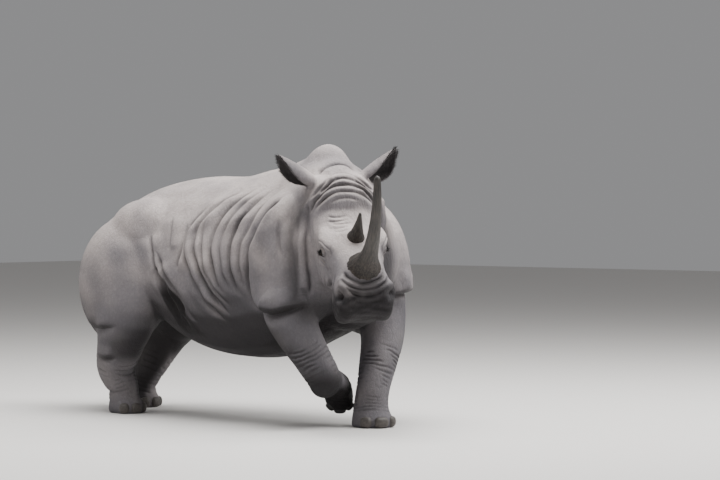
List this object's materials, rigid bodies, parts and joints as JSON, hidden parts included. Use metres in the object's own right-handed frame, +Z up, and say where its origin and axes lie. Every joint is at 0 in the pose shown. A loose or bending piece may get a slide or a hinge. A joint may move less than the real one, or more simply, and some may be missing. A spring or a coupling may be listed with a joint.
{
  "type": "rhinoceros",
  "caption": "Still life-size museum-style model of a white rhinoceros walking with one forefoot lifted, its head turned to the right and nose lowered.",
  "frame": {"origin": "on the ground, under the middle of the animal's bounding box", "axes": "+X towards the head end, +Y to the animal's left, +Z up"},
  "size_m": [3.0502, 1.2962, 1.731],
  "materials": {
    "hide": "thick grey wrinkled hide, matt and dusty",
    "horn": "dark fibrous keratin, rough at the foot and rubbed smooth at the tip",
    "eye": "wet, very dark brown",
    "nail": "worn grey keratin"
  },
  "bodies": {
    "root": {"trunk": "hide", "neck": "hide", "head": "hide", "tail": "hide", "ear_left": "hide", "ear_right": "hide", "fore_leg_left": "hide", "fore_leg_right": "hide", "hind_leg_left": "hide", "hind_leg_right": "hide", "fore_foot_left": "hide", "fore_foot_right": "hide", "hind_foot_left": "hide", "hind_foot_right": "hide", "horn_front": "horn", "horn_rear": "horn", "eye_left": "eye", "eye_right": "eye", "fore_foot_left_nail_right": "nail", "fore_foot_left_nail_middle": "nail", "fore_foot_left_nail_left": "nail", "fore_foot_right_nail_right": "nail", "fore_foot_right_nail_middle": "nail", "fore_foot_right_nail_left": "nail", "hind_foot_left_nail_right": "nail", "hind_foot_left_nail_middle": "nail", "hind_foot_left_nail_left": "nail", "hind_foot_right_nail_right": "nail", "hind_foot_right_nail_middle": "nail", "hind_foot_right_nail_left": "nail"}
  },
  "joints": []
}
